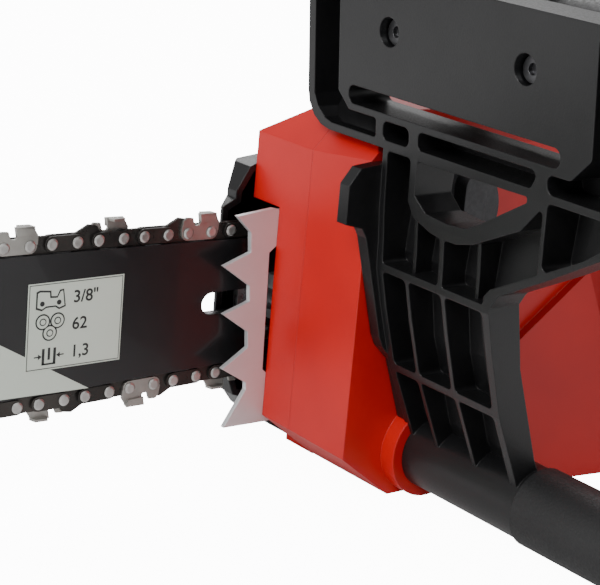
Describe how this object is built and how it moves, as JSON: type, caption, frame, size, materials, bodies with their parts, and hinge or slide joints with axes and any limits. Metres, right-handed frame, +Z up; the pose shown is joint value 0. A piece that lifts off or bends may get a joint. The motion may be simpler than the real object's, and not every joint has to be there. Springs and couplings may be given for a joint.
{
  "type": "electric chainsaw",
  "caption": "Corded electric chainsaw: moulded body with rear handle, tubular front handle, ribbed hand guard, bumper spike, laminated guide bar and low-profile saw chain.",
  "frame": {"origin": "on the flat base, under the sprocket's axis and on the mid-plane of the guide bar", "axes": "+X along the bar from its nose to the rear handle, +Y to the saw's right, +Z up; the bar lies to -X and the saw's left side is -Y"},
  "size_m": [0.8949, 0.2673, 0.191],
  "materials": {
    "plain_steel": "machined",
    "screw_steel": "zinc plated",
    "cast_aluminium": "as cast",
    "bar_paint": "black semi-gloss paint",
    "holder_brass": "stamped",
    "spike_steel": "bright stamped steel",
    "carbon": "sintered",
    "cutter_steel": "hard chromed steel, dull",
    "blued_steel": "dark blued steel, lightly oiled",
    "rivet_steel": "bright steel",
    "copper_bars": "turned",
    "inner_black_plastic": "matt",
    "black_rubber": "matt",
    "enamelled_wire": "varnished",
    "black_plastic": "moulded, fine grain",
    "grip_rubber": "matt",
    "tube_paint": "black powder coat",
    "red_plastic": "moulded, slightly glossy",
    "bearing_steel": "ground",
    "cap_plastic": "coarse grain",
    "milky_plastic": "translucent blow moulding, stated opaque",
    "white_plastic": "moulded",
    "lamination_steel": "stacked sheet"
  },
  "bodies": {
    "saw": {"bar_core": "plain_steel", "bar_nuts": "screw_steel", "bar_pad": "cast_aluminium", "bar_plate_left": "bar_paint", "bar_plate_right": "bar_paint", "bar_studs": "plain_steel", "brush_holders": "holder_brass", "bumper_spike": "spike_steel", "carbon_brushes": "carbon", "chain_cutters_left": "cutter_steel", "chain_cutters_right": "cutter_steel", "chain_drive_links": "blued_steel", "chain_rivets": "rivet_steel", "chain_tie_straps": "blued_steel", "clamp_plate": "plain_steel", "clutch_hub": "plain_steel", "clutch_spring": "plain_steel", "cord_gland": "black_rubber", "drive_sprocket": "plain_steel", "field_coils": "enamelled_wire", "front_handle": "black_plastic", "gear_case": "cast_aluminium", "guard_screws": "screw_steel", "guard_stays": "black_plastic", "handle_grip": "grip_rubber", "handle_tube": "tube_paint", "housing_left": "red_plastic", "housing_right": "red_plastic", "housing_screws": "screw_steel", "motor_bearings": "bearing_steel", "nose_rivets": "plain_steel", "nose_sprocket": "plain_steel", "oil_hoses": "black_rubber", "oil_pump": "cast_aluminium", "oil_tank": "milky_plastic", "pump_cam": "white_plastic", "pump_plunger": "plain_steel", "rear_bracket": "cast_aluminium", "shaft_bearings": "bearing_steel", "shaft_bracket": "cast_aluminium", "spike_screws": "screw_steel", "sprocket_clip": "plain_steel", "sprocket_cover": "black_plastic", "sprocket_shaft": "plain_steel", "stator_core": "lamination_steel", "switch_body": "inner_black_plastic", "tension_block": "plain_steel", "tension_screw": "screw_steel", "trigger_pin": "plain_steel"},
    "trigger_body": {"trigger": "black_plastic"},
    "lock_button_body": {"lock_button": "black_plastic"},
    "switch_plunger_body": {"switch_plunger": "white_plastic"},
    "oil_cap_body": {"oil_cap": "cap_plastic"},
    "rotor": {"rotor_shaft": "plain_steel", "rotor_core": "lamination_steel", "rotor_winding": "enamelled_wire", "commutator": "copper_bars", "cooling_fan": "inner_black_plastic", "bevel_pinion": "plain_steel"},
    "gear": {"bevel_gear": "plain_steel"}
  },
  "joints": [
    {"name": "trigger_pull", "type": "hinge", "parent": "saw", "child": "trigger_body", "pos_m": [0.239, -0.028, 0.098], "axis": [0, -1, 0], "range_deg": [0, 12], "stiffness_Nm_per_rad": 0.5, "springref_deg": -8.59},
    {"name": "switch_press", "type": "slide", "parent": "saw", "child": "switch_plunger_body", "axis": [0, 0, 1], "range_m": [0, 0.0056]},
    {"name": "lock_button_press", "type": "slide", "parent": "saw", "child": "lock_button_body", "axis": [0, 1, 0], "range_m": [0, 0.004], "stiffness_N_per_m": 300, "springref_m": -0.003},
    {"name": "oil_cap_turn", "type": "hinge", "parent": "saw", "child": "oil_cap_body", "pos_m": [-0.0245, -0.061, 0.108], "axis": [0, -1, 0], "range_deg": [0, 90]},
    {"name": "rotor_spin", "type": "hinge", "parent": "saw", "child": "rotor", "pos_m": [0.1, -0.028, 0.062], "axis": [1, 0, 0], "continuous": true},
    {"name": "gear_spin", "type": "hinge", "parent": "saw", "child": "gear", "pos_m": [0, -0.037, 0.062], "axis": [0, 1, 0], "continuous": true}
  ],
  "couplings": [
    {"joint": "gear_spin", "follows": "rotor_spin", "ratio": 0.27273},
    {"joint": "switch_press", "follows": "trigger_pull", "m_per_rad": 0.0255}
  ]
}
